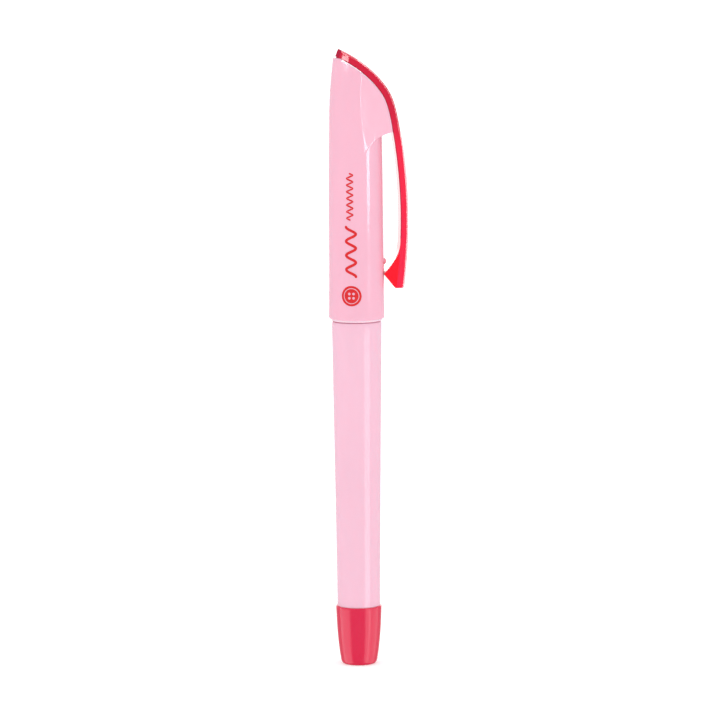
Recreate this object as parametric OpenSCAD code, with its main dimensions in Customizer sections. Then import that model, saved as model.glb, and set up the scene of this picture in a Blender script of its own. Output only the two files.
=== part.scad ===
// A capped marking pen that stands on its end plug, with its cap and clip at +X.
// Millimetres. +Z runs along the pen's axis and z = 0 is the flat face of the end plug.

/* [Overall] */
// Height of the seam between the barrel and the grip section's collar
seam_z = 78.5; // [76:0.5:81]
// Height of the joint between the end plug and the barrel
plug_z = 13.4; // [12:0.2:16]

/* [Barrel and plug] */
// Barrel radius beside the end plug
barrel_low_r = 4.90; // [4.8:0.02:5.0]
// Barrel radius at its mouth
barrel_top_r = 5.68; // [5.6:0.02:5.8]
// How far the plug stands proud of the barrel
plug_step = 0.30; // [0.1:0.05:0.4]
// Radius of the plug just above its rounded foot
plug_foot_r = 4.15; // [3.9:0.05:4.4]

/* [Cap] */
// Radius of the cap's waist, its widest straight part
cap_r = 6.22; // [6.15:0.01:6.35]
// Radius of the cap's lip
lip_r = 6.33; // [6.25:0.01:6.45]
// Height of the cap's flat top corner
cap_top_z = 137.9; // [137:0.1:139]
// Angle of the wing's flanks away from the cap's fore and aft direction
flank_angle = 25; // [22:1:28]
// Bore radius where the cap runs on the grip section
cap_bore_r = 5.25; // [5.2:0.01:5.3]

/* [Clip] */
// Thickness of the clip and of the crown band
clip_t = 1.8; // [1.5:0.1:2]
// Half the width of the clip's arm
arm_half_w = 2.65; // [2.2:0.05:3]
// Radius of the arm's long inner curve
arm_bow = 118; // [110:1:125]
// Distance from the pen's axis to the arm's inner face, at its widest
arm_reach = 9.83; // [9.6:0.01:10]
// Height at which the arm is furthest out
arm_mid_z = 101.8; // [100:0.2:104]

/* [Writing point] */
// Diameter of the writing ball
ball_d = 0.7; // [0.5:0.1:1]
// Height of the ball's centre
ball_z = 124.75; // [124:0.05:125]

/* [Hidden] */
$fn = 96;

// Colours
pink = [0.98, 0.76, 0.84];
red = [0.90, 0.17, 0.29];
white = [0.94, 0.93, 0.92];

// Overlap that lets a cut run past the surface it opens
eps = 0.5;
// Small chamfer on the edges of moulded pieces
edge = 0.1;
// A size larger than any piece, for half-space cuts
big = 60;

// Barrel and plug
barrel_wall = 0.9;
spigot_r = barrel_low_r - barrel_wall;
spigot_top_z = 20.2;
plug_rim_r = barrel_low_r + plug_step;
plug_base_r = 3.2;
plug_foot_z = 1.05;
plug_wall = 1.1;
tenon_r = barrel_top_r - 0.95;
tenon_z = 66;
tenon_bore_z = tenon_z - 0.5;
tenon_step = 0.4;

// Grip section
collar_r = 5.74;
collar_top_z = 79.15;
seat_r = cap_bore_r - 0.05;
seat_top_z = 89;
grip_back_r = 4.95;
grip_front_r = 3.95;
shoulder_z = 111;
nose_r = 3.5;
nose_z = 113;
holder_r = 2.4;
holder_back_z = 99;

// Ink path. The core ends in a short blunt point.
core_r = 0.75;
core_back_z = 62;
core_front_z = 120.8;
core_point_z = 119.3;
core_point_r = 0.35;
core_gap = 0.05;
fibre_r = 3.6;
film_t = 0.12;
reservoir_top_z = 74;
store_gap = 0.08;
breather_r = 0.5;
breather_x = breather_r + 0.4 - fibre_r;

// Tip
ball_r = ball_d / 2;
socket_r = ball_r + 0.02;
tip_end_z = ball_z + 0.13;
tip_rim_r = 0.46;
shank_r = 1.15;
cone_z = 119;
holder_nose_z = 118.6;
channel_r = 0.2;

// Cap: heights where the profile starts to fall inwards, and the radii of those two bows
bow_z = 94;
bow_r = 1724;
dome_z = 124.5;
dome_r = 125;
lip_z = 79.25;
lip_h = 2.6;
bore_fit_z = 90;
inner_cap_r = 4.75;
cavity_z = 107;
ceiling_z = 129;
flank_z = 117;
flank_d = 6.005;
flank_lean = 0.047;
wing_x = 1.5;
wing_reach = 11;
wing_half_w = 5.2;
wing_arch_r = 9;
wing_arch_x = 9.2;
wing_top_z = 121.2;
wing_low_z = wing_top_z - wing_arch_r;
crown_top_z = 142;
bead_r = 0.85;
bead_z = 91.9;
bead_out = 0.55;

// Inner cap and its pad
mouth_z = 111.3;
mouth_r = 3.6;
throat_z = 119;
pad_z = 125.25;
pad_r = 2.0;
pad_t = 1.9;

// Clip: centre of the arm's long curves, and the angles where it starts and ends
arm_centre = [arm_reach - arm_bow, arm_mid_z];
crown_end_angle = 9.6;
knuckle_angle = 9.1;
foot_start_angle = -2.8;
foot_z = 85.95;
foot_angle = asin((foot_z - arm_mid_z) / (arm_bow + clip_t));
foot_gap = 0.12;
foot_tip = [cap_r + foot_gap, 89.6];
foot_heel = [5.9, 89.2];
foot_toe_x = 8.53;
knuckle_gap = 0.05;
knuckle = arm_point(knuckle_angle, clip_t / 2);
peg_r = 0.9;
peg_x = [-2.2, 3.0];
peg_deep_z = [132.9, 130.6];
boss_r = 1.8;
well_end_x = 4.2;
well_half_w = 2.7;
well_z = 130.3;

// Point at t on a cubic curve from p to q, leaving p and reaching q along the headings a and b in
// degrees, with handles m and n long.
function curve_at(t, p, a, m, q, b, n) =
    let (u = 1 - t, c = p + m * [cos(a), sin(a)], d = q - n * [cos(b), sin(b)])
    u * u * u * p + 3 * u * u * t * c + 3 * u * t * t * d + t * t * t * q;

function slope_at(t, p, a, m, q, b, n) =
    let (u = 1 - t, c = p + m * [cos(a), sin(a)], d = q - n * [cos(b), sin(b)])
    u * u * (c - p) + 2 * u * t * (d - c) + t * t * (q - d);

// The same curve moved off to its left side, in the given number of steps
function curve(p, a, m, q, b, n, off = 0, steps = 10, first = 0) = [
    for (i = [first:steps])
        let (t = i / steps, s = slope_at(t, p, a, m, q, b, n))
        curve_at(t, p, a, m, q, b, n) + off * [-s[1], s[0]] / norm(s)
];

function reverse(list) = [for (i = [len(list) - 1:-1:0]) list[i]];

// Inward fall at height z of an arc that leaves the vertical at height start
function fall(z, start, radius) = pow(max(0, z - start), 2) / (2 * radius);

function cap_radius(z) = cap_r - fall(z, bow_z, bow_r) - fall(z, dome_z, dome_r);

// A point on the clip's long curve, off millimetres outside its inner face
function arm_point(angle, off) = arm_centre + (arm_bow + off) * [cos(angle), sin(angle)];

function arm_arc(from, to, off, steps = 10) =
    [for (i = [0:steps]) arm_point(from + (to - from) * i / steps, off)];

// The sloped top of the cap, in the plane y = 0, from the flat corner down to the wing's end.
// The crown band lies between this line and the same line moved out by the clip's thickness.
crest_start = [-4.12, 138.05];
crest_turn = [6.3, 128.75];
crest_end = arm_point(crown_end_angle, 0);
function crest(off) = concat(
    curve(crest_start, -23, 4.5, crest_turn, -64, 3.6, off, 12),
    curve(crest_turn, -64, 1.9, crest_end, crown_end_angle - 90, 3.3, off, 8, 1)
);

// Solid of revolution between an outer outline and the axis
module turned(outline, low, high) {
    rotate_extrude()
        polygon(concat([[0, low]], outline, [[0, high]]));
}

// A plate in the XZ plane, half_w to each side of y = 0
module plate(outline, half_w) {
    rotate([90, 0, 0])
        translate([0, 0, -half_w])
            linear_extrude(2 * half_w)
                polygon(outline);
}

module along_y(x, z, r) {
    translate([x, 0, z])
        rotate([90, 0, 0])
            cylinder(h = big, r = r, center = true);
}

// Everything between the two leaning flanks of the wing
module between_flanks() {
    intersection_for (side = [-1, 1])
        rotate([0, 0, side * (90 - flank_angle)])
            translate([flank_d, 0, flank_z])
                rotate([0, -atan(flank_lean), 0])
                    translate([-big, -big / 2, -big])
                        cube([big, big, 2 * big]);
}

// ---- Barrel and plug ----

module end_plug() {
    foot = [plug_foot_r, plug_foot_z];
    side = curve([plug_base_r, 0], 0, 0.6, foot, 80, 0.6, 0, 6);
    swell = curve(foot, 80, 4, [plug_rim_r, plug_z], 88, 4.5, 0, 10, 1);
    color(red)
        difference() {
            union() {
                turned(concat(side, swell), 0, plug_z);
                translate([0, 0, plug_z - eps])
                    cylinder(h = spigot_top_z - plug_z + eps, r = spigot_r);
            }
            translate([0, 0, plug_wall])
                cylinder(h = spigot_top_z, r = spigot_r - plug_wall);
        }
}

module barrel() {
    mouth_chamfer = 0.15;
    side = curve([barrel_low_r, plug_z], 89.6, 20, [barrel_top_r, seam_z - mouth_chamfer], 89.4, 20, 0, 12);
    color(pink)
        difference() {
            turned(concat(side, [[barrel_top_r - mouth_chamfer, seam_z]]), plug_z, seam_z);
            translate([0, 0, plug_z - eps])
                cylinder(h = spigot_top_z - plug_z + 2 * eps, r = spigot_r);
            translate([0, 0, spigot_top_z])
                cylinder(h = tenon_bore_z - spigot_top_z + eps, r1 = spigot_r, r2 = tenon_r - tenon_step);
            translate([0, 0, tenon_bore_z])
                cylinder(h = seam_z - tenon_bore_z + eps, r = tenon_r);
        }
}

// ---- Writing end ----

module grip_section() {
    lead = 0.3;
    headroom = 1;
    wick_gap = 0.25;
    outline = concat(
        [
            [tenon_r - lead, tenon_z],
            [tenon_r, tenon_z + 2 * lead],
            [tenon_r, seam_z],
            [collar_r - edge, seam_z],
            [collar_r, seam_z + edge],
            [collar_r, collar_top_z - edge],
            [collar_r - edge, collar_top_z],
            [seat_r, collar_top_z],
            [seat_r, seat_top_z - 4 * edge]
        ],
        curve([grip_back_r, seat_top_z], 110, 7, [grip_front_r, shoulder_z - 4 * edge], 92, 9, 0, 10),
        [
            [grip_front_r - 4 * edge, shoulder_z],
            [nose_r, shoulder_z],
            [nose_r, nose_z - lead],
            [nose_r - lead, nose_z]
        ]
    );
    color(white)
        difference() {
            turned(outline, tenon_z, nose_z);
            translate([0, 0, tenon_z - eps])
                cylinder(h = reservoir_top_z + headroom - tenon_z + eps, r = fibre_r + film_t + store_gap);
            cylinder(h = holder_back_z + eps, r = core_r + wick_gap);
            translate([0, 0, holder_back_z])
                cylinder(h = nose_z - holder_back_z + eps, r = holder_r);
        }
}

module tip_holder() {
    flange_r = 3.0;
    flange_t = 0.9;
    flange_edge = 0.45;
    nose_wall = 0.3;
    outline = concat(
        [
            [holder_r, holder_back_z],
            [holder_r, nose_z],
            [flange_r, nose_z],
            [flange_r, nose_z + flange_t]
        ],
        curve(
            [flange_r - flange_edge, nose_z + flange_t], 100, 2,
            [shank_r + nose_wall, holder_nose_z], 92, 2, 0, 8
        )
    );
    color(white)
        difference() {
            turned(outline, holder_back_z, holder_nose_z);
            translate([0, 0, holder_back_z - eps])
                cylinder(h = nose_z - holder_back_z + 2 * eps, r = core_r + core_gap);
            translate([0, 0, nose_z])
                cylinder(h = holder_nose_z - nose_z + eps, r = shank_r);
        }
}

module tip_body() {
    step_r = 0.85;
    step_z = 121.4;
    outline = [
        [shank_r, nose_z],
        [shank_r, cone_z],
        [step_r, step_z],
        [step_r - edge, step_z + 2 * edge],
        [tip_rim_r, tip_end_z - 0.25],
        [tip_rim_r - 0.08, tip_end_z]
    ];
    wick_bore = [
        [core_r + core_gap, nose_z - eps],
        [core_r + core_gap, core_point_z],
        [core_point_r + core_gap, core_front_z],
        [channel_r, core_front_z],
        [channel_r, ball_z]
    ];
    color("silver")
        difference() {
            turned(outline, nose_z, tip_end_z);
            turned(wick_bore, nose_z - eps, ball_z);
            translate([0, 0, ball_z])
                sphere(r = socket_r);
        }
}

module tip_ball() {
    color("gray")
        translate([0, 0, ball_z])
            sphere(r = ball_r);
}

module relay_core() {
    color("ivory")
        turned(
            [
                [core_r, core_back_z],
                [core_r, core_point_z],
                [core_point_r, core_front_z - edge]
            ],
            core_back_z, core_front_z - edge
        );
}

// ---- Ink store ----

module ink_reservoir() {
    color("plum")
        difference() {
            translate([0, 0, spigot_top_z])
                cylinder(h = reservoir_top_z - spigot_top_z, r = fibre_r);
            translate([0, 0, core_back_z])
                cylinder(h = reservoir_top_z - core_back_z + eps, r = core_r);
            translate([breather_x, 0, spigot_top_z - eps])
                cylinder(h = reservoir_top_z - spigot_top_z + 2 * eps, r = breather_r);
        }
}

module reservoir_film() {
    color("whitesmoke")
        translate([0, 0, spigot_top_z])
            difference() {
                cylinder(h = reservoir_top_z - spigot_top_z, r = fibre_r + film_t);
                translate([0, 0, -eps])
                    cylinder(h = reservoir_top_z - spigot_top_z + 2 * eps, r = fibre_r);
            }
}

module breather_tube() {
    color("white")
        translate([breather_x, 0, spigot_top_z])
            difference() {
                cylinder(h = reservoir_top_z - spigot_top_z, r = breather_r);
                translate([0, 0, -eps])
                    cylinder(h = reservoir_top_z - spigot_top_z + 2 * eps, r = breather_r - 0.2);
            }
}

// ---- Cap ----

// The cap's round outline between two heights, as [radius, height] pairs
function cap_side(from, to, steps) =
    [for (i = [0:steps]) let (z = from + (to - from) * i / steps) [cap_radius(z), z]];

// Lower, round part of the cap, with its slightly belled lip
module cap_skirt() {
    turned(
        concat(
            [
                [lip_r - 0.15, lip_z],
                [lip_r, lip_z + 0.15],
                [lip_r - 0.01, lip_z + 0.9],
                [cap_r, lip_z + lip_h]
            ],
            cap_side(bow_z, wing_low_z, 6)
        ),
        lip_z, wing_low_z
    );
}

// Upper part of the cap: its round body and a wing, given as a child, trimmed to a teardrop
module teardrop(top) {
    intersection() {
        union() {
            turned(cap_side(wing_low_z, top, 12), wing_low_z, top);
            children();
        }
        between_flanks();
    }
}

module wing_block(top) {
    translate([wing_x, -wing_half_w, wing_low_z])
        cube([wing_reach - wing_x, 2 * wing_half_w, top - wing_low_z]);
}

// The wing with the arch that its underside makes above the gap behind the clip
module arched_wing(top) {
    difference() {
        wing_block(top);
        along_y(wing_arch_x, wing_top_z - wing_arch_r, wing_arch_r);
    }
}

module pegs() {
    for (i = [0, 1])
        translate([peg_x[i], 0, peg_deep_z[i]])
            cylinder(h = crown_top_z - peg_deep_z[i], r = peg_r);
}

// Everything above the cap's sloped top
module above_crest() {
    low = arm_point(knuckle_angle, 0);
    plate(concat([[-big, crest_start[1]]], crest(0), [low, [big, low[1]], [big, 3 * big], [-big, 3 * big]]), big);
}

// Mouth, running bore, tapered bore and the seat of the inner cap
module cap_bore() {
    mouth_chamfer = 0.35;
    turned(
        [
            [cap_bore_r + mouth_chamfer + eps, lip_z - eps],
            [cap_bore_r, lip_z + mouth_chamfer],
            [cap_bore_r, bore_fit_z],
            [inner_cap_r, cavity_z],
            [inner_cap_r, ceiling_z]
        ],
        lip_z - eps, ceiling_z
    );
}

// Cored space under the crown, with a boss left standing for each peg
module crown_well() {
    difference() {
        translate([peg_x[0], -well_half_w, well_z])
            cube([well_end_x - peg_x[0], 2 * well_half_w, big]);
        for (x = peg_x)
            translate([x, 0, well_z - 1])
                cylinder(h = 2 * big, r = boss_r);
    }
}

module cap_shell() {
    color(pink)
        difference() {
            union() {
                cap_skirt();
                teardrop(cap_top_z)
                    arched_wing(cap_top_z);
                translate([cap_r + bead_out - bead_r, 0, bead_z])
                    sphere(r = bead_r);
            }
            above_crest();
            cap_bore();
            crown_well();
            pegs();
        }
}

module inner_cap() {
    color(white)
        difference() {
            translate([0, 0, mouth_z])
                cylinder(h = ceiling_z - mouth_z, r = inner_cap_r);
            turned(
                [
                    [mouth_r, mouth_z - eps],
                    [mouth_r, throat_z],
                    [pad_r, pad_z],
                    [pad_r, pad_z + pad_t]
                ],
                mouth_z - eps, pad_z + pad_t
            );
        }
}

module tip_seal() {
    color("dimgray")
        translate([0, 0, pad_z])
            cylinder(h = pad_t, r = pad_r);
}

// ---- Clip ----

module clip_crown() {
    band = concat(
        crest(0),
        [arm_point(knuckle_angle, 0), arm_point(knuckle_angle, clip_t)],
        reverse(crest(clip_t))
    );
    // The pegs start inside the band, so that they join it over their whole width
    peg_root = clip_t / 3;
    under_band = concat(crest(peg_root), [[crest_end[0], wing_low_z], [crest_start[0], wing_low_z]]);
    color(red)
        difference() {
            union() {
                intersection() {
                    plate(band, big / 2);
                    teardrop(crown_top_z)
                        wing_block(crown_top_z);
                }
                intersection() {
                    pegs();
                    plate(under_band, big / 2);
                }
            }
            along_y(knuckle[0], knuckle[1], clip_t / 2 + knuckle_gap);
        }
}

module clip_arm() {
    foot_corner = 0.25;
    inner = concat(
        arm_arc(knuckle_angle, foot_start_angle, 0),
        curve(arm_point(foot_start_angle, 0), foot_start_angle - 90, 2.6, foot_tip, -131, 2.4, 0, 8, 1)
    );
    toe = [
        foot_heel,
        [foot_toe_x, foot_z],
        arm_point(foot_angle, clip_t) + [-foot_corner, 0],
        arm_point(foot_angle, clip_t) + [0, foot_corner]
    ];
    outer = arm_arc(foot_angle + 0.3, knuckle_angle, clip_t, 14);
    color(red)
        difference() {
            intersection() {
                union() {
                    plate(concat(inner, toe, outer), arm_half_w);
                    translate([knuckle[0], 0, knuckle[1]])
                        rotate([90, 0, 0])
                            cylinder(h = 2 * arm_half_w, r = clip_t / 2, center = true);
                }
                between_flanks();
            }
            // The foot's tip is hollowed to the cap's round
            cylinder(h = 2 * foot_tip[1], r = cap_r + foot_gap);
        }
}

end_plug();
barrel();
grip_section();
tip_holder();
tip_body();
tip_ball();
relay_core();
ink_reservoir();
reservoir_film();
breather_tube();
cap_shell();
inner_cap();
tip_seal();
clip_crown();
clip_arm();
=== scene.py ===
"""A capped fabric marking pen that stands on its end plug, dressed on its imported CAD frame."""
from math import asin, cos, degrees, hypot, pi, radians, sin, sqrt

import bmesh
import bpy
import numpy as np
from mathutils import Matrix, Vector


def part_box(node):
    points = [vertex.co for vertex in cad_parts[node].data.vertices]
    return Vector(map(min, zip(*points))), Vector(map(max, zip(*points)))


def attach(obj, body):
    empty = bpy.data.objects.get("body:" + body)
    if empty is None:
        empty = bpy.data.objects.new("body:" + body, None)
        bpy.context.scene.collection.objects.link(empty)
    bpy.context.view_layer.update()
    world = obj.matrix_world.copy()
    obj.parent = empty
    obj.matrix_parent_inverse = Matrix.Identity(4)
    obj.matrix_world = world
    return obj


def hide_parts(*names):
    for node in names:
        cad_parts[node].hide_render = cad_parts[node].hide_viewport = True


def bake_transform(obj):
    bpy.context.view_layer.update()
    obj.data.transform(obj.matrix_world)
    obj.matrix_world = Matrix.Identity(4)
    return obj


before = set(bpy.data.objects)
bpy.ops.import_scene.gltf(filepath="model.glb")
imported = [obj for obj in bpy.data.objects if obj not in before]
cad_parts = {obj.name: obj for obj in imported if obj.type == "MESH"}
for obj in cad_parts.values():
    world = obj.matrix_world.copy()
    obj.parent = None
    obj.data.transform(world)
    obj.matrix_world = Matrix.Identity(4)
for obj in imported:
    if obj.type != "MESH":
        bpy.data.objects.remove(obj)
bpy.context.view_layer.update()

scene = bpy.context.scene
MM = 0.001


def node_mm(name):
    """Lowest and highest corner of a CAD node, in millimetres."""
    low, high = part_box(name)
    return low / MM, high / MM


# ---- Measurements, in millimetres, read off the frame where it has them ----

_, PLUG_HIGH = node_mm("end_plug")
BARREL_LOW, BARREL_HIGH = node_mm("barrel")
_, CAP_HIGH = node_mm("cap_shell")
GRIP_LOW, GRIP_HIGH = node_mm("grip_section")
_, INNER_HIGH = node_mm("inner_cap")
ARM_LOW, ARM_HIGH = node_mm("clip_arm")

# Plug, barrel and collar
PLUG_RIM_R = PLUG_HIGH.x
PLUG_Z = BARREL_LOW.z
SPIGOT_TOP = PLUG_HIGH.z
BARREL_TOP_R = BARREL_HIGH.x
PLUG_STEP = 0.3
BARREL_WALL, MOUTH_WALL = 0.9, 0.95
BARREL_LOW_R = PLUG_RIM_R - PLUG_STEP
SPIGOT_R = BARREL_LOW_R - BARREL_WALL
SEAM_Z = BARREL_HIGH.z
TENON_R = BARREL_TOP_R - MOUTH_WALL
COLLAR_R = GRIP_HIGH.x

# Cap: a round body that bows inwards, with a flared lip and a flat-sided wing above an arch
COLLAR_H = 0.63
LIP_Z = SEAM_Z + COLLAR_H
LIP_R = CAP_HIGH.y
LIP_FLARE, FLARE_H = 0.11, 13.0
CAP_R = LIP_R - LIP_FLARE
CAP_TOP = CAP_HIGH.z
CAP_BORE_R = 5.25
CEILING_Z = INNER_HIGH.z
INNER_CAP_R = INNER_HIGH.x
BOW_Z, BOW_R = 94.0, 1724.0
DOME_Z, DOME_R = 124.5, 125.0
FLANK_ANGLE = radians(65)
FLANK_Z, FLANK_D, FLANK_LEAN = 117.0, 6.005, 0.047
FAR_AWAY = 99.0
ARCH_X, ARCH_TOP, ARCH_R = 9.2, 121.2, 9.0
BEAD_Z, BEAD_R, BEAD_OUT = 91.9, 0.85, 0.55

# Crown and clip: one moulding whose arm is an arc, a hair thinner than the CAD's to stay inside its box
CLIP_T = 1.798
CREST_LEAN = -23.0
CREST_START, CREST_TURN = (-4.12, 138.05), (6.3, 128.75)
ARM_HALF_W = ARM_HIGH.y
ARM_BOW, ARM_REACH, ARM_MID_Z = 118.0, 9.83, 101.8
ARM_CENTRE = Vector((ARM_REACH - ARM_BOW, ARM_MID_Z))
CROWN_END_ANGLE = radians(9.6)
FOOT_START_ANGLE = radians(-2.8)
FOOT_GAP = 0.12
FOOT_TIP = Vector((CAP_R + FOOT_GAP, 89.6))
FOOT_HEEL = Vector((5.9, 89.2))
FOOT_TOE = Vector((8.53, ARM_LOW.z))


# ---- Curves and outlines ----

def heading(angle):
    """Unit vector at an angle in degrees."""
    return Vector((cos(radians(angle)), sin(radians(angle))))


def cubic(p, leave, leave_len, q, reach, reach_len, steps):
    """Points on a cubic curve that leaves p and reaches q along two headings in degrees."""
    p, q = Vector(p), Vector(q)
    c = p + leave_len * heading(leave)
    d = q - reach_len * heading(reach)
    points = []
    for i in range(steps + 1):
        t = i / steps
        u = 1 - t
        points.append(u**3 * p + 3 * u * u * t * c + 3 * u * t * t * d + t**3 * q)
    return points


def offset(points, distance):
    """The line moved to its left side."""
    moved = []
    for i, point in enumerate(points):
        along = (points[min(i + 1, len(points) - 1)] - points[max(i - 1, 0)]).normalized()
        moved.append(point + distance * Vector((-along.y, along.x)))
    return moved


def arm_point(angle, out=0.0):
    """Point on the arm's inner arc, or that far outside it."""
    return ARM_CENTRE + (ARM_BOW + out) * Vector((cos(angle), sin(angle)))


def arm_arc(start, end, out, steps):
    return [arm_point(start + (end - start) * i / steps, out) for i in range(steps + 1)]


def smooth_max(a, b, k):
    """The larger of a and b, with the corner between them rounded over k."""
    h = max(k - abs(a - b), 0.0) / k
    return max(a, b) + h * h * k * 0.25


def smooth_min(a, b, k):
    """The smaller of a and b, with the corner between them rounded over k."""
    return -smooth_max(-a, -b, k)


def smooth_step(low, high, x):
    """0 at low, 1 at high and smooth between; low may be the larger."""
    t = min(max((x - low) / (high - low), 0.0), 1.0)
    return t * t * (3 - 2 * t)


def cap_radius(z):
    """Radius of the cap's round body: bowed in towards the top, domed at the top and flared at the lip."""
    bow = max(0.0, z - BOW_Z) ** 2 / (2 * BOW_R)
    dome = max(0.0, z - DOME_Z) ** 2 / (2 * DOME_R)
    flare = LIP_FLARE * (1 - smooth_step(LIP_Z + 0.4, LIP_Z + FLARE_H, z))
    return CAP_R + flare - bow - dome


def flank_distance(z):
    """Distance from the axis to the plane of the wing's leaning flank."""
    return FLANK_D - FLANK_LEAN * (z - FLANK_Z)


TURN_LEAN = -64
CREST = cubic(CREST_START, CREST_LEAN, 4.5, CREST_TURN, TURN_LEAN, 3.6, 110)
CREST += cubic(
    CREST_TURN, TURN_LEAN, 1.9, arm_point(CROWN_END_ANGLE), degrees(CROWN_END_ANGLE) - 90, 3.3, 36
)[1:]
CREST_X = np.array([p.x for p in CREST])
CREST_Z = np.array([p.y for p in CREST])


def crest_height(x):
    """Height of the cap's sloped top at x: flat behind the crest, none beyond its end."""
    if x < CREST_X[0]:
        return CAP_TOP
    return min(float(np.interp(x, CREST_X, CREST_Z)), CAP_TOP)


def cap_reach(theta, z):
    """Distance from the axis to the cap's surface at azimuth theta from +X.

    Above the arch the surface follows the wing's flat flanks, and below it the round body.
    """
    radius = cap_radius(z)
    edge_on = 0.05
    turn = cos(abs(theta) - FLANK_ANGLE)
    flank = flank_distance(z) / turn if turn > edge_on else FAR_AWAY
    arch_low = ARCH_TOP - ARCH_R
    wing = 0.0
    if z > arch_low and cos(theta) > 0.02:
        rise = min((z - arch_low) / ARCH_R, 1.0)
        wing = (ARCH_X - ARCH_R * sqrt(max(0.0, 1 - rise * rise))) / cos(theta)
    elif z > ARCH_TOP:
        wing = FAR_AWAY
    if flank > radius and abs(theta) < FLANK_ANGLE:
        arch_blend, ridge_blend = 0.1, 0.04
        reach = smooth_min(smooth_max(radius, wing, arch_blend), flank, ridge_blend)
    else:
        # The crease where the flank meets the round body is crisp near the top and softer towards the arch
        crease_blend = 0.01 + 0.23 * smooth_step(123, 114, z)
        fade = 0.12
        cut = smooth_min(radius, flank, crease_blend)
        reach = radius + (cut - radius) * smooth_step(radius - fade, radius + fade, wing)
    across = (reach * sin(theta)) ** 2 + (z - BEAD_Z) ** 2
    if across < BEAD_R**2 and cos(theta) > 0:
        bead_blend = 0.06
        bead = CAP_R + BEAD_OUT - BEAD_R + sqrt(BEAD_R**2 - across)
        reach = smooth_max(reach, bead, bead_blend)
    return reach


def cap_top(theta):
    """Height where the cap's side meets its sloped top, at azimuth theta."""
    low, high = ARCH_TOP - 1.5, CAP_TOP
    for _ in range(40):
        middle = (low + high) / 2
        x = cap_reach(theta, middle) * cos(theta)
        inside = x < CREST_X[-1] and middle < crest_height(x)
        low, high = (middle, high) if inside else (low, middle)
    return low


# ---- Mesh building ----

def finish_mesh(name, bm, sharp=35):
    """A smooth-shaded object, in metres, with sharp edges kept where the surface turns hard."""
    bmesh.ops.remove_doubles(bm, verts=bm.verts, dist=1e-4)
    bmesh.ops.recalc_face_normals(bm, faces=bm.faces)
    bmesh.ops.scale(bm, vec=(MM, MM, MM), verts=bm.verts)
    mesh = bpy.data.meshes.new(name)
    bm.to_mesh(mesh)
    bm.free()
    mesh.polygons.foreach_set("use_smooth", [True] * len(mesh.polygons))
    mesh.set_sharp_from_angle(angle=radians(sharp))
    obj = bpy.data.objects.new(name, mesh)
    scene.collection.objects.link(obj)
    return obj


def skin(rings, closed=True):
    """A bmesh of quads over rows of points, each row a closed loop.

    closed joins the last row to the first.
    """
    bm = bmesh.new()
    rows = [[bm.verts.new(p) for p in ring] for ring in rings]
    count = len(rows[0])
    pairs = list(zip(rows, rows[1:])) + ([(rows[-1], rows[0])] if closed else [])
    for a, b in pairs:
        for i in range(count):
            j = (i + 1) % count
            bm.faces.new((a[i], a[j], b[j], b[i]))
    return bm, rows


def lathe(name, outline, segments=160, sharp=35):
    """A solid of revolution from an outline of (radius, height) points, closed on itself or on the axis."""
    turns = [2 * pi * i / segments for i in range(segments)]
    rings = [[(r * cos(a), r * sin(a), z) for a in turns] for r, z in outline]
    on_axis = outline[0][0] < 1e-6
    bm, _ = skin(rings, closed=not on_axis)
    return finish_mesh(name, bm, sharp)


# ---- Materials ----

def srgb(r, g, b):
    """Linear colour from 0 to 255 screen values."""
    def linear(c):
        c /= 255
        return c / 12.92 if c <= 0.04045 else ((c + 0.055) / 1.055) ** 2.4
    return (linear(r), linear(g), linear(b), 1.0)


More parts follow.
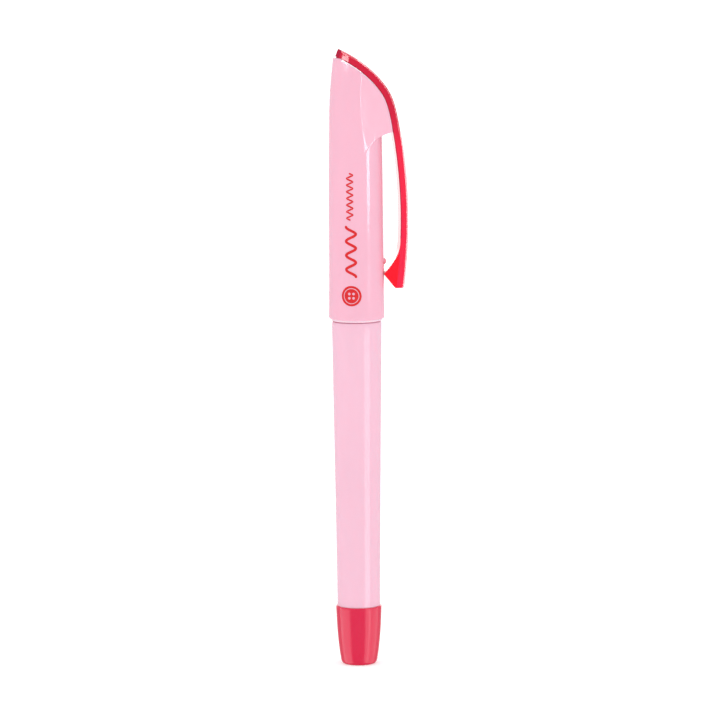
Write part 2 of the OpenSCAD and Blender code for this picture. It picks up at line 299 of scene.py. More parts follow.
class Graph:
    """A new material and short calls that add and join its nodes."""

    def __init__(self, name):
        self.material = bpy.data.materials.new(name)
        self.material.use_nodes = True
        self.tree = self.material.node_tree
        self.shader = self.tree.nodes["Principled BSDF"]
        self.place = self.add("ShaderNodeTexCoord").outputs["Object"]

    def add(self, kind, **settings):
        node = self.tree.nodes.new(kind)
        for key, value in settings.items():
            setattr(node, key, value)
        return node

    def join(self, output, socket):
        self.tree.links.new(output, socket)

    def stretched(self, x, y, z):
        """Object coordinates scaled per axis, so that a pattern can run along the pen."""
        node = self.add("ShaderNodeMapping")
        node.inputs["Scale"].default_value = (x, y, z)
        self.join(self.place, node.inputs["Vector"])
        return node.outputs["Vector"]

    def noise(self, vector, scale, detail=3.0, roughness=0.5):
        node = self.add("ShaderNodeTexNoise")
        node.inputs["Scale"].default_value = scale
        node.inputs["Detail"].default_value = detail
        node.inputs["Roughness"].default_value = roughness
        self.join(vector, node.inputs["Vector"])
        return node.outputs["Fac"]

    def spread(self, value, low, high):
        """A 0 to 1 pattern mapped to the given range."""
        node = self.add("ShaderNodeMapRange")
        node.inputs["From Min"].default_value = 0.3
        node.inputs["From Max"].default_value = 0.7
        node.inputs["To Min"].default_value = low
        node.inputs["To Max"].default_value = high
        self.join(value, node.inputs["Value"])
        return node.outputs["Result"]

    def height(self, start, end):
        """0 to 1 between two heights along the pen, in millimetres."""
        z = self.add("ShaderNodeSeparateXYZ")
        self.join(self.place, z.inputs["Vector"])
        node = self.add("ShaderNodeMapRange", interpolation_type="SMOOTHSTEP")
        node.inputs["From Min"].default_value = start * MM
        node.inputs["From Max"].default_value = end * MM
        self.join(z.outputs["Z"], node.inputs["Value"])
        return node.outputs["Result"]

    def mixed(self, factor, a, b):
        """The colour between a and b, each a colour or another mix."""
        node = self.add("ShaderNodeMix", data_type="RGBA")
        self.join(factor, node.inputs[0])
        for value, socket in ((a, node.inputs[6]), (b, node.inputs[7])):
            if isinstance(value, bpy.types.NodeSocket):
                self.join(value, socket)
            else:
                socket.default_value = value
        return node.outputs[2]

    def tint(self, value, dark, light):
        self.join(self.mixed(self.spread(value, 0.0, 1.0), dark, light), self.shader.inputs["Base Color"])

    def bumps(self, *layers):
        """Bump layers of (height pattern, distance in millimetres), stacked."""
        normal = None
        for value, distance in layers:
            node = self.add("ShaderNodeBump")
            node.inputs["Distance"].default_value = distance * MM
            self.join(value, node.inputs["Height"])
            if normal:
                self.join(normal, node.inputs["Normal"])
            normal = node.outputs["Normal"]
        self.join(normal, self.shader.inputs["Normal"])


def scaled(colour, k):
    """The colour k times as bright."""
    return tuple(min(1.0, c * k) for c in colour[:3]) + (1.0,)


def moulded(name, colour, far_colour=None, span=(0, 1), rough=(0.07, 0.13), depth=0.0, warm=1.0):
    """Glossy injection-moulded plastic: faint flow marks along the pen, fine orange peel, uneven polish.

    With far_colour, the colour changes along the pen over the span of heights, in millimetres.
    """
    g = Graph(name)
    darker, lighter = 0.975, 1.015
    cloud = g.noise(g.stretched(1, 1, 0.35), 90, 4)
    dark, light = scaled(colour, darker), scaled(colour, lighter)
    if far_colour:
        height = g.height(*span)
        dark = g.mixed(height, dark, scaled(far_colour, darker))
        light = g.mixed(height, light, scaled(far_colour, lighter))
    g.tint(cloud, dark, light)
    flow = g.noise(g.stretched(1, 1, 0.04), 900, 2)
    peel = g.noise(g.place, 2600, 2)
    g.join(g.spread(g.noise(g.stretched(1, 1, 0.5), 400, 5, 0.6), *rough), g.shader.inputs["Roughness"])
    g.bumps((flow, 0.003), (peel, 0.0008))
    g.shader.inputs["IOR"].default_value = 1.5
    if depth:
        g.shader.inputs["Subsurface Weight"].default_value = depth
        g.shader.inputs["Subsurface Radius"].default_value = (1.0, 0.45 * warm, 0.5 * warm)
        g.shader.inputs["Subsurface Scale"].default_value = 0.0012
    return g.material


def satin(name, colour, rough=(0.32, 0.45), shine=0.5):
    """Plain satin plastic, for the pieces under the cap, and for the painted shade in the collar's groove
    and on the clip's end face and inner edges.
    """
    g = Graph(name)
    g.tint(g.noise(g.place, 160, 4), scaled(colour, 0.94), colour)
    g.join(g.spread(g.noise(g.place, 700, 5, 0.6), *rough), g.shader.inputs["Roughness"])
    g.bumps((g.noise(g.stretched(1, 1, 0.1), 1200, 3), 0.003), (g.noise(g.place, 5200, 2), 0.002))
    g.shader.inputs["Specular IOR Level"].default_value = shine
    g.shader.inputs["Subsurface Weight"].default_value = 0.1
    g.shader.inputs["Subsurface Scale"].default_value = 0.001
    return g.material


def turned_metal(name):
    """Nickel-bright metal with fine rings left by turning."""
    g = Graph(name)
    rings = g.noise(g.stretched(0.05, 0.05, 1), 9000, 3)
    g.tint(g.noise(g.place, 800, 3), (0.62, 0.61, 0.59, 1), (0.8, 0.79, 0.77, 1))
    g.join(g.spread(rings, 0.16, 0.34), g.shader.inputs["Roughness"])
    g.shader.inputs["Metallic"].default_value = 1.0
    g.bumps((rings, 0.003))
    return g.material


def fibre(name, colour):
    """Bundled fibres that run along the pen."""
    g = Graph(name)
    strands = g.noise(g.stretched(1, 1, 0.02), 5200, 4, 0.7)
    g.tint(strands, scaled(colour, 0.7), scaled(colour, 1.1))
    g.join(g.spread(strands, 0.75, 0.95), g.shader.inputs["Roughness"])
    g.bumps((strands, 0.05))
    return g.material


def film(name):
    """Thin clear wrap with a slight milky haze."""
    g = Graph(name)
    haze = g.noise(g.stretched(1, 1, 0.2), 300, 4)
    g.tint(haze, (0.86, 0.87, 0.92, 1), (0.97, 0.97, 0.99, 1))
    g.join(g.spread(haze, 0.08, 0.22), g.shader.inputs["Roughness"])
    g.bumps((g.noise(g.stretched(1, 1, 0.1), 500, 3), 0.02))
    g.shader.inputs["Transmission Weight"].default_value = 0.7
    return g.material


def rubber(name):
    """Soft dark rubber with a fine grain."""
    g = Graph(name)
    grain = g.noise(g.place, 3500, 4, 0.6)
    g.tint(g.noise(g.place, 400, 3), (0.07, 0.07, 0.08, 1), (0.11, 0.11, 0.12, 1))
    g.join(g.spread(grain, 0.6, 0.8), g.shader.inputs["Roughness"])
    g.bumps((grain, 0.012))
    return g.material


def printing_ink(name, colour):
    """Pad-printed ink: slightly mottled coverage and a satin film."""
    g = Graph(name)
    mottle = g.noise(g.place, 1800, 4, 0.65)
    g.tint(mottle, scaled(colour, 0.9), scaled(colour, 1.05))
    g.join(g.spread(mottle, 0.3, 0.45), g.shader.inputs["Roughness"])
    g.bumps((mottle, 0.004))
    return g.material


CAP_PINK = moulded("cap_pink", srgb(239, 182, 201), depth=0.25)
# Painted highlight: a paler pink for the cap's bevelled top edge
CAP_EDGE_HIGHLIGHT = moulded("cap_edge_painted_highlight", srgb(252, 230, 239), depth=0.4)
BARREL_PINK = moulded("barrel_pink", srgb(238, 190, 208), depth=0.25)
PLUG_RED = moulded("plug_red", srgb(214, 28, 70), rough=(0.2, 0.27), depth=0.1, warm=0.2)
# Painted light and shade: lighter red down the arm, darker red on the crown, blended between 116 and 126 mm
CLIP_RED_LIT_AND_SHADED = moulded(
    "clip_red", srgb(237, 34, 70), srgb(204, 24, 58), span=(116, 126), depth=0.15, warm=0.2
)
# Painted shade on the crown's end face and the clip's inner edges: a darker red with no reflection
CLIP_SHADE_RED = satin("crown_end_painted_shade", srgb(172, 40, 66), shine=0.0)
# Painted light: a brighter copy of the clip's red for the foot's wedge
FOOT_LIT_RED = moulded("foot_painted_light_red", srgb(248, 10, 38), depth=0.15, warm=0.2)
WHITE = satin("section_white", srgb(234, 230, 230))
# Painted highlight: a pale pink for the collar ring, lighter than the white grip of the same section
COLLAR_LIT_PINK = satin("collar_painted_highlight", srgb(250, 224, 234), rough=(0.2, 0.3))
GRIP_WHITE = satin("grip_white", srgb(228, 221, 225), rough=(0.25, 0.35))
# Painted shade: a darker pink in the collar's groove
GROOVE_SHADE_PINK = satin("groove_painted_shade", srgb(222, 140, 168))
METAL = turned_metal("tip_metal")
INK_RED = printing_ink("print_red", srgb(220, 16, 24))


# ---- Pieces ----

def place(piece, material, slot, body, *nodes):
    """Gives a piece its material, lets it ride on its body and stand for its CAD nodes; slot is not used.
    """
    piece.data.materials.append(material)
    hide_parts(*nodes)
    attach(piece, body)
    return piece


def make_barrel():
    """The tapering tube, hollow for the plug's spigot and the grip's tenon."""
    mouth = 0.3
    side = cubic((BARREL_LOW_R, PLUG_Z + 0.06), 89.6, 20, (BARREL_TOP_R, SEAM_Z - mouth), 89.4, 20, 60)
    outer = [(BARREL_LOW_R - 0.06, PLUG_Z)] + [tuple(p) for p in side]
    lip = cubic((BARREL_TOP_R, SEAM_Z - mouth), 90, 0.12, (BARREL_TOP_R - 0.25, SEAM_Z - 0.06), 170, 0.1, 5)
    outer += [tuple(p) for p in lip[1:]]
    tenon_z = GRIP_LOW.z - 0.5
    bore = [
        (TENON_R, SEAM_Z),
        (TENON_R, tenon_z),
        (TENON_R - 0.4, tenon_z),
        (SPIGOT_R, SPIGOT_TOP),
        (SPIGOT_R, PLUG_Z),
    ]
    return place(lathe("barrel_tube", outer + bore), BARREL_PINK, "pink_barrel", "barrel", "barrel")


def make_plug():
    """The end plug: a flat foot with a moulding gate, a bulged side, and a spigot inside the barrel."""
    foot = (PLUG_RIM_R - 1.05, 1.05)
    base_r = 3.2
    gate_r = 0.7
    side = cubic((base_r, 0), 0, 0.6, foot, 80, 0.6, 12)
    side += cubic(foot, 80, 4, (PLUG_RIM_R, PLUG_Z - 0.12), 88, 4.5, 40)[1:]
    rim = cubic((PLUG_RIM_R, PLUG_Z - 0.12), 90, 0.07, (PLUG_RIM_R - 0.12, PLUG_Z), 180, 0.07, 5)[1:]
    gate_depth, wall, chamfer = 0.12, 1.1, 0.3
    outline = [(0, gate_depth), (gate_r - 0.1, gate_depth), (gate_r, 0)]
    outline += [tuple(p) for p in side + rim]
    outline += [(SPIGOT_R, PLUG_Z), (SPIGOT_R, SPIGOT_TOP - chamfer), (SPIGOT_R - chamfer, SPIGOT_TOP)]
    outline += [(SPIGOT_R - wall, SPIGOT_TOP), (SPIGOT_R - wall, wall), (0, wall)]
    return place(lathe("plug_body", outline), PLUG_RED, "red_plastic", "barrel", "end_plug")


def make_grip():
    """The section: tenon, groove with painted shade, collar in a paler pink as a painted highlight, the
    seat that holds the cap, and the waisted grip.
    """
    seat_r = CAP_BORE_R - 0.05
    seat_top, shoulder = 89.0, 111.0
    back_r, front_r, nose_r = 4.95, 3.95, 3.5
    nose_z = GRIP_HIGH.z
    reservoir_r, reservoir_top = 3.8, 75.0
    core_r, holder_r, holder_z = 1.0, 2.4, 99.0
    outer = [
        (TENON_R - 0.3, GRIP_LOW.z),
        (TENON_R, GRIP_LOW.z + 0.6),
        (TENON_R, SEAM_Z),
    ]
    groove_r, groove_top = COLLAR_R - 0.2, SEAM_Z + 0.16
    ring_top = LIP_Z - 0.02
    outer += [(groove_r, SEAM_Z), (groove_r, groove_top - 0.02)]
    ring = cubic((COLLAR_R - 0.08, groove_top), 0, 0.04, (COLLAR_R, groove_top + 0.08), 90, 0.04, 4)
    ring += cubic((COLLAR_R, ring_top - 0.06), 90, 0.03, (COLLAR_R - 0.06, ring_top), 180, 0.03, 4)
    outer += [tuple(p) for p in ring]
    outer += [(seat_r, ring_top), (seat_r, seat_top - 0.5)]
    grip = cubic((back_r, seat_top), 110, 7, (front_r, shoulder - 0.4), 92, 9, 40)
    outer += [tuple(p) for p in grip]
    outer += [(front_r - 0.15, shoulder - 0.1), (front_r - 0.4, shoulder), (nose_r, shoulder)]
    outer += [(nose_r, nose_z - 0.3), (nose_r - 0.3, nose_z)]
    bore = [
        (holder_r, nose_z),
        (holder_r, holder_z),
        (core_r, holder_z),
        (core_r, reservoir_top),
        (reservoir_r, reservoir_top),
        (reservoir_r, GRIP_LOW.z),
    ]
    piece = place(lathe("grip_body", outer + bore), COLLAR_LIT_PINK, "white_plastic", "barrel", "grip_section")
    piece.data.materials.append(GROOVE_SHADE_PINK)
    piece.data.materials.append(GRIP_WHITE)
    # The groove gets painted shade; the grip above the collar is plain white
    for face in piece.data.polygons:
        height = face.center.z / MM
        if SEAM_Z - 0.1 < height < groove_top:
            face.material_index = 1
        elif height > ring_top + 0.01:
            face.material_index = 2
    return piece


def cap_azimuths():
    """Azimuths of the cap's columns: close together on the wing, wider round the back."""
    near = np.arange(0, 84, 0.6)
    far = np.arange(84, 180.1, 2.0)
    half = [radians(a) for a in np.concatenate([near, far])]
    return [-a for a in reversed(half[1:-1])] + half


def cap_levels():
    """Heights of the cap's rows below the wing's top: close together on the bead and under the arch."""
    skirt_top = 116.6
    lip = [LIP_Z + 0.9, LIP_Z + 1.4] + list(np.arange(LIP_Z + 2, LIP_Z + 10.6, 0.8))
    skirt = list(np.arange(90.8, 93.05, 0.1)) + list(np.arange(94.5, skirt_top, 1.5))
    arch_low = ARCH_TOP - ARCH_R
    xs = np.arange(0.9, 8.8, 0.1)
    arch = [arch_low + sqrt(ARCH_R**2 - (x - ARCH_X) ** 2) for x in xs]
    return lip, skirt, [z for z in arch if z > skirt_top]


def make_cap():
    """The hollow cap, from its ceiling down to the lip and up the outside to the bevelled, sloped top."""
    azimuths = cap_azimuths()
    tops = [cap_top(a) for a in azimuths]
    lip, skirt, arch = cap_levels()
    bevel, bevel_drop = 0.14, 0.24
    rings = []

    def ring(reach, height):
        rings.append([
            (reach(i, a) * cos(a), reach(i, a) * sin(a), height(i)) for i, a in enumerate(azimuths)
        ])

    def level(z, inward=0.0):
        ring(lambda i, a: cap_radius(z) - inward, lambda i: z)

    # Inside, from the ceiling down to the mouth
    chamfer = 0.35
    for r, z in [(0.01, CEILING_Z), (INNER_CAP_R, CEILING_Z), (INNER_CAP_R, 107), (CAP_BORE_R, 90)]:
        ring(lambda i, a, r=r: r, lambda i, z=z: z)
    corner_in, corner_up = 0.2, 0.6
    for r, z in [(CAP_BORE_R, LIP_Z + chamfer), (CAP_BORE_R + chamfer, LIP_Z), (LIP_R - corner_in, LIP_Z)]:
        ring(lambda i, a, r=r: r, lambda i, z=z: z)
    corner_steps = 10
    for k in range(1, corner_steps + 1):
        turn = pi / 2 * k / corner_steps
        level(LIP_Z + corner_up * (1 - cos(turn)), corner_in * (1 - sin(turn)))
    for z in lip:
        level(z)
    for z in skirt + arch:
        ring(lambda i, a, z=z: cap_reach(a, min(z, tops[i])), lambda i, z=z: min(z, tops[i]))
    # From the wing's underside to just under the sloped top, then over its bevelled edge
    start = arch[-1]
    steps = 46

    for k in range(1, steps + 1):
        def height(i, k=k):
            top = max(tops[i] - bevel_drop, min(start, tops[i]))
            low = min(start, tops[i])
            return low + (top - low) * k / steps

        ring(lambda i, a, h=height: cap_reach(a, h(i)), height)
    edge = rings[-1]
    rings.append([(x, y * (1 - bevel / max(abs(y), bevel)), z) for (x, y, _), z in zip(edge, tops)])
    bm, rows = skin(rings, closed=False)
    # The bevel gets a paler pink as a painted highlight, except round the crown's end
    edge_verts = set(rows[-1] + rows[-2])
    for face in bm.faces:
        if edge_verts.issuperset(face.verts) and face.calc_center_median().x > CREST_START[0] + 1:
            face.material_index = 1
    close_top(bm, rows[-1])
    bmesh.ops.contextual_create(bm, geom=rows[0])
    piece = place(finish_mesh("cap_body", bm, 50), CAP_PINK, "pink_cap", "cap", "cap_shell")
    piece.data.materials.append(CAP_EDGE_HIGHLIGHT)
    return piece


def close_top(bm, row):
    """Closes the sloped top with strips that run straight across it, from each column to its mirror."""
    count = len(row)
    middle = (count - 1) // 2
    for k in range(middle):
        a, b = row[middle + k], row[middle + k + 1]
        c, d = row[middle - k - 1], row[middle - k]
        corners = [a, b, c, d] if k else [a, b, c]
        if len(set(corners)) > 2:
            bm.faces.new(corners)
    bm.faces.new([row[count - 2], row[count - 1], row[0]])


def teardrop_half_width(point):
    """Half the cap's width across at a point (x, z), on its round back or on its flanks."""
    x, z = point
    back_end = 1.5
    radius = cap_radius(z)
    flank = (flank_distance(z) - x * cos(FLANK_ANGLE)) / sin(FLANK_ANGLE)
    if x < back_end:
        back = sqrt(max(radius * radius - x * x, 0.01))
        return min(back, flank)
    return flank


# Points in a clip section: on each rounded corner, and across each of its two broad faces
CORNER_POINTS, FACE_POINTS, CORNERS = 7, 7, 10


def clip_corners(thick, crease, foot_w, wide, narrow, shoulder):
    """The CORNERS / 2 corners (y, v, rounding) of one side of a clip section, v running outwards.

    The foot's wedge is a little narrower than the arm, up to the crease. The outer edge has a shoulder.
    """
    shoulder_v = 0.85 * shoulder

    def side(v):
        return wide - (wide - narrow) * v / thick

    corners = [(foot_w, 0.0, 0.2)]
    if crease:
        corners += [(foot_w, crease * thick, 0.03), (wide, crease * thick + 0.12, 0.03)]
    else:
        corners += [(side(0.2 * thick), 0.2 * thick, 0.05), (side(0.5 * thick), 0.5 * thick, 0.05)]
    corners += [(side(thick - shoulder_v), thick - shoulder_v, 0.12), (narrow - shoulder, thick, 0.2)]
    return corners


def clip_ring(inner, outer, crease, widths):
    """One closed section of the clip between an inner and an outer point in the XZ plane."""
    thick = (outer - inner).length
    side = clip_corners(thick, crease, *widths)
    corners = side + [(-y, v, r) for y, v, r in reversed(side)]
    section = []
    bends = CORNER_POINTS - 3
    for i, (y, v, radius) in enumerate(corners):
        p = Vector((y, v))
        before, after = Vector(corners[i - 1][:2]) - p, Vector(corners[(i + 1) % CORNERS][:2]) - p
        cut = min(radius, before.length * 0.45, after.length * 0.45)
        start, end = p + before.normalized() * cut, p + after.normalized() * cut
        section.append(start + before.normalized() * min(0.02, 0.04 * before.length))
        for k in range(bends + 1):
            t = k / bends
            section.append((1 - t) ** 2 * start + 2 * t * (1 - t) * p + t * t * end)
        section.append(end + after.normalized() * min(0.02, 0.04 * after.length))
        if i in (CORNERS // 2 - 1, CORNERS - 1):
            following = Vector(corners[(i + 1) % CORNERS][:2])
            section += [end.lerp(following, k / (FACE_POINTS + 1)) for k in range(1, FACE_POINTS + 1)]
    ring = []
    for y, v in section:
        f = v / thick
        ring.append((inner.x + (outer.x - inner.x) * f, y, inner.y + (outer.y - inner.y) * f))
    return ring


def clip_stations():
    """Inner point, outer point, crease, and (half-widths, shoulder) of each section, crown's end to toe."""
    crown_shoulder, arm_shoulder = 0.4, 0.55
    stations = []
    for a, b in zip(CREST, offset(CREST, CLIP_T)):
        wide, narrow = teardrop_half_width(a), teardrop_half_width(b)
        stations.append((a, b, 0, (wide, wide, narrow, crown_shoulder)))
    arm_steps = 46
    inner = arm_arc(CROWN_END_ANGLE, FOOT_START_ANGLE, 0, arm_steps)[1:]
    outer = arm_arc(CROWN_END_ANGLE, FOOT_START_ANGLE, CLIP_T, arm_steps)[1:]
    for a, b in zip(inner, outer):
        wide, narrow = arm_widths(a, b)
        shoulder = crown_shoulder + (arm_shoulder - crown_shoulder) * smooth_step(121, 113, a.y)
        stations.append((a, b, 0, (wide, wide, narrow, shoulder)))
    arm_end, arm_heading = arm_point(FOOT_START_ANGLE), degrees(FOOT_START_ANGLE) - 90
    foot = cubic(arm_end, arm_heading, 2.6, FOOT_TIP, -131, 2.4, 24)[1:]
    heel_steps, sole_steps = 3, 12
    foot += [FOOT_TIP.lerp(FOOT_HEEL, k / heel_steps) for k in range(1, heel_steps + 1)]
    foot += [FOOT_HEEL.lerp(FOOT_TOE, k / sole_steps) for k in range(1, sole_steps + 1)]
    toe_angle = asin((FOOT_TOE.y - ARM_MID_Z) / (ARM_BOW + CLIP_T))
    for k, a in enumerate(foot, 1):
        angle = FOOT_START_ANGLE + (toe_angle - FOOT_START_ANGLE) * k / len(foot)
        b = arm_point(angle, CLIP_T)
        wide, narrow = arm_widths(arm_point(angle), b)
        crease = max(0.02, 1 - CLIP_T / max((b - a).length, CLIP_T))
        step = 0.12 * smooth_step(0, 6, k)
        stations.append((a, b, crease, (wide - step, wide, narrow, arm_shoulder)))
    return stations


def arm_widths(inner, outer):
    """Half-widths of the arm's inner and outer faces. The outer one blends into the crown's."""
    blend_h, edge = 6, 0.05
    wide = min(teardrop_half_width(inner), ARM_HALF_W)
    narrow = min(teardrop_half_width(outer), ARM_HALF_W)
    free = min(max((ARCH_TOP - inner.y) / blend_h, 0.0), 1.0)
    return wide, narrow + (ARM_HALF_W - edge - narrow) * (1 - (1 - free) ** 3)


def make_clip():
    """The crown and the clip as one mesh, running across the hinge under the wing."""
    rings = [clip_ring(*station) for station in clip_stations()]
    softened = 0.4
    first = [end_ring(rings[0], 0.12), between_rings(rings[0], rings[1], softened)]
    last = [between_rings(rings[-1], rings[-2], softened), end_ring(rings[-1], 0.15)]
    bm, rows = skin(first + rings[1:-1] + last, closed=False)
    shade_inner_edges(bm)
    bm.faces.new(rows[0])
    bm.faces.new(list(reversed(rows[-1])))
    hug_cap(bm)
    piece = finish_mesh("clip_and_crown", bm, 40)
    piece.data.materials.append(CLIP_RED_LIT_AND_SHADED)
    piece.data.materials.append(FOOT_LIT_RED)
    piece.data.materials.append(CLIP_SHADE_RED)
    sort_reds(piece.data)
    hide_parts("clip_crown", "clip_arm")
    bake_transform(piece)
    return piece


def end_ring(ring, inset):
    """The section pulled in towards its own middle, for a softened end edge."""
    middle = sum((Vector(p) for p in ring), Vector()) / len(ring)
    return [tuple(Vector(p) + (middle - Vector(p)).normalized() * inset) for p in ring]


def shade_inner_edges(bm):
    """Third slot, above the foot, for the rounded inner edges, which get painted shade: each section's
    first and last corners.
    """
    foot_top = 97
    points = CORNERS * CORNER_POINTS + 2 * FACE_POINTS
    across = CORNER_POINTS - 1
    last = (CORNERS - 1) * CORNER_POINTS + FACE_POINTS
    for number, face in enumerate(bm.faces):
        step = number % points
        on_edge = step < across or last <= step < last + across
        if on_edge and face.calc_center_median().z > foot_top:
            face.material_index = 2


def between_rings(a, b, t):
    """The section part of the way from a to b."""
    return [tuple(Vector(p).lerp(Vector(q), t)) for p, q in zip(a, b)]


def sort_reds(mesh):
    """Second slot for the foot's wedge, the clip's thickest part, painted lighter; third for the crown's
    end face, painted with shade.
    """
    wedge_h, end_depth = 4, 0.1
    for face in mesh.polygons:
        x, _, z = (c / MM for c in face.center)
        inside = hypot(x - ARM_CENTRE.x, z - ARM_CENTRE.y) < ARM_BOW
        if inside and z < FOOT_TIP.y + wedge_h:
            face.material_index = 1
        elif (Vector((x, z)) - Vector(CREST_START)).dot(heading(CREST_LEAN)) < end_depth:
            face.material_index = 2


def hug_cap(bm):
    """Keeps the foot's tip just outside the round cap, so that it wraps the surface it bears on."""
    foot_top = 95
    clearance = CAP_R + FOOT_GAP
    for vert in bm.verts:
        x, y, z = vert.co
        if z < foot_top and hypot(x, y) < clearance:
            vert.co.x = sqrt(max(clearance**2 - y * y, 0))


# ---- Print: a row of zigzag stitches, a wave stitch and a four-hole button ----

PRINT_AZIMUTH = radians(-90 - 17.5)


def on_cap(s, z, lift):
    """Point on the cap s millimetres round from the print's middle line."""
    r = cap_radius(z)
    a = PRINT_AZIMUTH + s / r
    return ((r + lift) * cos(a), (r + lift) * sin(a), z)


def flat_outline(curve, points):
    """Adds a closed outline of (s, z) points to the curve. An outline inside another is a hole in it."""
    spline = curve.splines.new("POLY")
    spline.points.add(len(points) - 1)
    for point, (s, z) in zip(spline.points, points):
        point.co = (s, z, 0, 1)
    spline.use_cyclic_u = True


def circle(s, z, r, steps=40):
    """Points round a circle."""
    return [(s + r * cos(2 * pi * i / steps), z + r * sin(2 * pi * i / steps)) for i in range(steps)]


def stroke(path, width):
    """Outline of a line of the given width, with round ends."""
    path = [Vector(p) for p in path]
    left, right = offset(path, width / 2), offset(path, -width / 2)
    steps = 8
    ends = []
    for tip, side in ((path[-1], left[-1]), (path[0], right[0])):
        start = (side - tip).normalized()
        ends.append([
            tip + width / 2 * (Matrix.Rotation(-pi * k / steps, 2) @ start) for k in range(1, steps)
        ])
    return [tuple(p) for p in left + ends[0] + right[::-1] + ends[1]]


def make_print():
    """Thin ink on the cap: drawn flat in (s, z), cut into strips, thickened and wrapped round."""
    curve = bpy.data.curves.new("print_outline", "CURVE")
    curve.dimensions = "2D"
    curve.fill_mode = "BOTH"
    steps = 140
    zigzag_s, zigzag_top, zigzag_low, zigzags = -0.2, 112.3, 101.9, 7
    zigzag_reach, zigzag_stroke, sharpness = 0.85, 0.36, 0.97
    zigzag = []
    for i in range(steps + 1):
        t = i / steps
        swing = 2 / pi * asin(sharpness * sin(2 * pi * zigzags * t))
        zigzag.append((zigzag_s + zigzag_reach * swing, zigzag_top + (zigzag_low - zigzag_top) * t))
    flat_outline(curve, stroke(zigzag, zigzag_stroke))
    wave_top, wave_low, waves = 100.3, 89.1, 3.5
    wave_reach, wave_stroke = 1.1, 0.6
    wave = []
    for i in range(steps + 1):
        t = i / steps
        wave.append((-wave_reach * cos(2 * pi * waves * t), wave_top + (wave_low - wave_top) * t))
    flat_outline(curve, stroke(wave, wave_stroke))
    button_s, button_z, button_r = 0.05, 84.75, 2.3
    rim_w, gap_w = 0.5, 0.18
    for r in (button_r, button_r - rim_w, button_r - rim_w - gap_w):
        flat_outline(curve, circle(button_s, button_z, r))
    hole_reach, hole_r = 0.68, 0.3
    for quarter in range(4):
        a = pi / 4 + quarter * pi / 2
        hole_s, hole_z = button_s + hole_reach * cos(a), button_z + hole_reach * sin(a)
        flat_outline(curve, circle(hole_s, hole_z, hole_r, 20))
    drawn = bpy.data.objects.new("print_outline", curve)
    scene.collection.objects.link(drawn)
    bpy.context.view_layer.update()
    flat = bpy.data.meshes.new_from_object(drawn.evaluated_get(bpy.context.evaluated_depsgraph_get()))
    bpy.data.objects.remove(drawn)
    bm = bmesh.new()
    bm.from_mesh(flat)
    bpy.data.meshes.remove(flat)
    ink_depth = 0.02
    for s in np.arange(-3, 3.01, 0.2):
        geometry = bm.verts[:] + bm.edges[:] + bm.faces[:]
        bmesh.ops.bisect_plane(bm, geom=geometry, plane_co=(s, 0, 0), plane_no=(1, 0, 0))
    bmesh.ops.triangulate(bm, faces=bm.faces)
    top = bmesh.ops.extrude_face_region(bm, geom=bm.faces[:])["geom"]
    raised = {v for v in top if isinstance(v, bmesh.types.BMVert)}
    for vert in bm.verts:
        vert.co = on_cap(vert.co.x, vert.co.y, ink_depth if vert in raised else -ink_depth)
    # The extrusion makes its faces in no fixed order, so they are put in one
    in_order = sorted(bm.faces, key=lambda face: tuple(face.calc_center_median()))
    ranks = {face: rank for rank, face in enumerate(in_order)}
    bm.faces.sort(key=ranks.get)
    piece = finish_mesh("cap_print", bm, 30)
    piece.data.materials.append(INK_RED)
    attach(piece, "cap")
    return piece


# ---- CAD nodes that keep their shape ----

def paint_nodes():
    """Gives the pieces that keep their CAD shape their materials."""
    looks = {
        "tip_holder": WHITE,
        "inner_cap": WHITE,
        "breather_tube": WHITE,
        "tip_body": METAL,
        "tip_ball": METAL,
        "relay_core": fibre("core_fibre", srgb(236, 228, 214)),
        "ink_reservoir": fibre("ink_fibre", srgb(150, 96, 178)),
        "reservoir_film": film("film_wrap"),
        "tip_seal": rubber("seal_rubber"),
    }
    for name, material in looks.items():
        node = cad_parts[name]
        node.data.materials.clear()
        node.data.materials.append(material)


# ---- Studio ----

def make_floor():
    """A matte white floor. Its slight glow drowns the pink light that the pen casts on it."""
    size, glow = 12.0, 0.25
    bm = bmesh.new()
    bmesh.ops.create_grid(bm, x_segments=8, y_segments=8, size=size / 2)
    mesh = bpy.data.meshes.new("studio_floor")
    bm.to_mesh(mesh)
    bm.free()
    floor = bpy.data.objects.new("studio_floor", mesh)
    scene.collection.objects.link(floor)
    g = Graph("floor_white")
    g.tint(g.noise(g.place, 3, 2), (0.93, 0.93, 0.93, 1), (0.95, 0.95, 0.95, 1))
    g.shader.inputs["Roughness"].default_value = 0.9
    g.shader.inputs["Specular IOR Level"].default_value = 0.0
    g.shader.inputs["Emission Color"].default_value = (1, 1, 1, 1)
    g.shader.inputs["Emission Strength"].default_value = glow
    mesh.materials.append(g.material)
    floor.visible_glossy = False


def from_camera(azimuth, elevation):
    """Unit vector towards a place at that azimuth and elevation; azimuth 0 is in front, at -Y."""
    a, e = radians(azimuth), radians(elevation)
    return Vector((sin(a) * cos(e), -cos(a) * cos(e), sin(e)))


def look_at(obj, target, roll=0.0):
    """Points an object's -Z axis at the target, with its Y axis up before the roll in degrees."""
    back = (obj.location - target).normalized()
    turn = back.to_track_quat("Z", "Y").to_matrix().to_4x4()
    obj.matrix_world = Matrix.Translation(obj.location) @ turn @ Matrix.Rotation(radians(roll), 4, "Z")


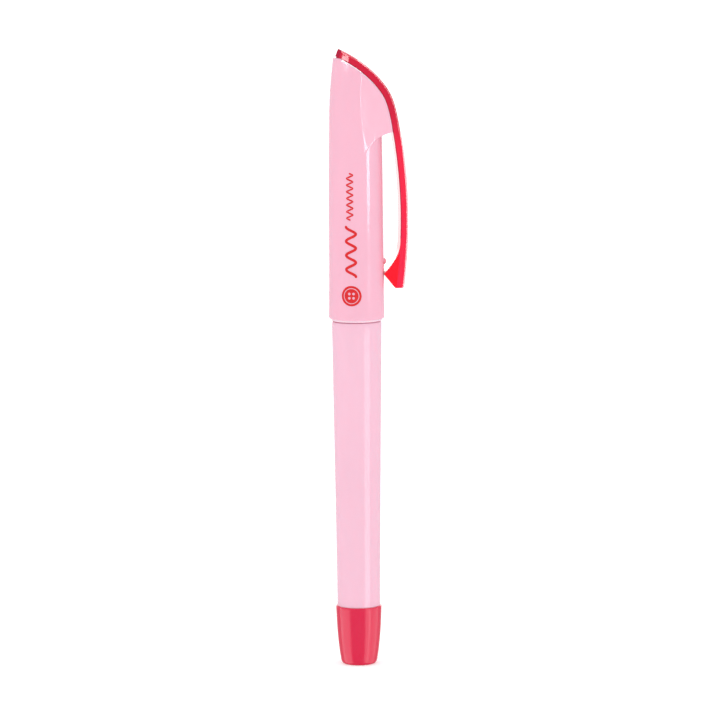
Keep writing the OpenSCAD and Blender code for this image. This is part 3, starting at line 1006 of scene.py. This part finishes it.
def add_strip(name, lit, azimuth, bottom, top, width, radiance):
    """An upright soft box 1 m away, between two heights in metres, that only the lit pieces' gloss sees."""
    distance = 1.0
    light = bpy.data.lights.new(name, "AREA")
    light.shape = "RECTANGLE"
    light.size = width
    light.size_y = top - bottom
    light.energy = 4 * pi * radiance * light.size * light.size_y
    obj = bpy.data.objects.new(name, light)
    centre = Vector((0, 0, (bottom + top) / 2))
    obj.location = centre + distance * from_camera(azimuth, 0)
    obj.visible_diffuse = False
    obj.visible_camera = False
    receivers = bpy.data.collections.new("lit_by_" + name)
    for piece in lit:
        receivers.objects.link(piece)
    obj.light_linking.receiver_collection = receivers
    scene.collection.objects.link(obj)
    look_at(obj, centre)


VIEW_AZIMUTH, VIEW_ELEVATION = -6.5, 7.4


def make_camera(middle):
    """A long lens a little above the pen, as in product photographs."""
    camera = bpy.data.cameras.new("camera")
    camera.sensor_width = 36
    camera.lens = 245.9
    camera.shift_x = -0.0007
    camera.clip_start = 0.05
    camera.clip_end = 50
    obj = bpy.data.objects.new("camera", camera)
    obj.location = middle + 1.1 * from_camera(VIEW_AZIMUTH, VIEW_ELEVATION)
    scene.collection.objects.link(obj)
    look_at(obj, middle, roll=-0.43)
    scene.camera = obj


def make_world():
    """White all round for soft light. Gloss sees a tent that is dark where the camera looks in."""
    world = bpy.data.worlds.new("studio")
    scene.world = world
    world.use_nodes = True
    tree = world.node_tree

    def add(kind, *inputs, **settings):
        node = tree.nodes.new(kind)
        for key, value in settings.items():
            setattr(node, key, value)
        for socket, value in zip(node.inputs, inputs):
            if isinstance(value, bpy.types.NodeSocket):
                tree.links.new(value, socket)
            elif value is not None:
                socket.default_value = value
        return node

    def ramp(value, start, end, low, high):
        return add("ShaderNodeMapRange", value, start, end, low, high).outputs["Result"]

    def product(a, b):
        return add("ShaderNodeMath", a, b, operation="MULTIPLY").outputs["Value"]

    def total(a, b):
        return add("ShaderNodeMath", a, b, operation="ADD").outputs["Value"]

    direction = add("ShaderNodeTexCoord").outputs["Generated"]
    towards = from_camera(VIEW_AZIMUTH, 0)
    front = add("ShaderNodeVectorMath", direction, towards, operation="DOT_PRODUCT").outputs["Value"]
    height = add("ShaderNodeSeparateXYZ", direction).outputs["Z"]
    # Dim in front and brighter behind, above all in the ring of directions that the pen's edges reflect,
    # dark again straight behind, and bright overhead
    everywhere = 0.3
    behind = ramp(front, -0.2, -0.6, 0.0, 0.2)
    rim = product(ramp(front, -0.85, -0.95, 0.0, 1.0), ramp(height, -0.05, 0.05, 1.1, 2.4))
    far_edge = ramp(front, -0.985, -0.997, 0.0, -1.0)
    above = ramp(height, 0.4, 0.6, 0.0, 3.0)
    gloss = total(total(behind, rim), total(above, total(far_edge, everywhere)))
    soft_strength = 1.1
    soft = tree.nodes["Background"]
    soft.inputs["Color"].default_value = (1, 1, 1, 1)
    soft.inputs["Strength"].default_value = soft_strength
    tent = add("ShaderNodeBackground", (1, 1, 1, 1), gloss)
    glossy_ray = add("ShaderNodeLightPath").outputs["Is Glossy Ray"]
    both = add("ShaderNodeMixShader", glossy_ray, soft.outputs[0], tent.outputs[0])
    tree.links.new(both.outputs[0], tree.nodes["World Output"].inputs["Surface"])


def make_studio(barrel, plug, cap, clip):
    """Floor, camera, world and strips. Each strip's azimuth is from the camera's, positive to the right."""
    middle = Vector((0, 0, 0.0703))
    make_floor()
    make_camera(middle)
    make_world()
    # Three strips of growing width, one on the other, give a bright streak with a soft edge
    low_width, high_width = 0.5, 0.24
    for name, k, low in (("core", 0.4, 0.034), ("middle", 0.7, 0.024), ("halo", 1.0, 0.014)):
        add_strip("low_" + name, (barrel, plug), VIEW_AZIMUTH + 48, -1.0, -0.06, low_width * k, 0.65)
        add_strip("high_" + name, (cap,), VIEW_AZIMUTH + 54.5, low, 1.0, high_width * k, 1.9)
    add_strip("plug_left", (plug,), VIEW_AZIMUTH - 80, -1.2, -0.12, 1.3, 0.62)
    add_strip("plug_right", (plug,), VIEW_AZIMUTH + 84, -1.2, -0.12, 1.2, 0.4)
    add_strip("clip_side", (clip,), VIEW_AZIMUTH + 112, -0.5, 1.3, 0.5, 1.8)
    add_strip("left_high", (cap, clip), VIEW_AZIMUTH - 52, 0.3, 0.95, 0.7, 3.0)
    scene.view_settings.view_transform = "Standard"


barrel = make_barrel()
plug = make_plug()
make_grip()
cap = make_cap()
clip = make_clip()
make_print()
paint_nodes()
make_studio(barrel, plug, cap, clip)
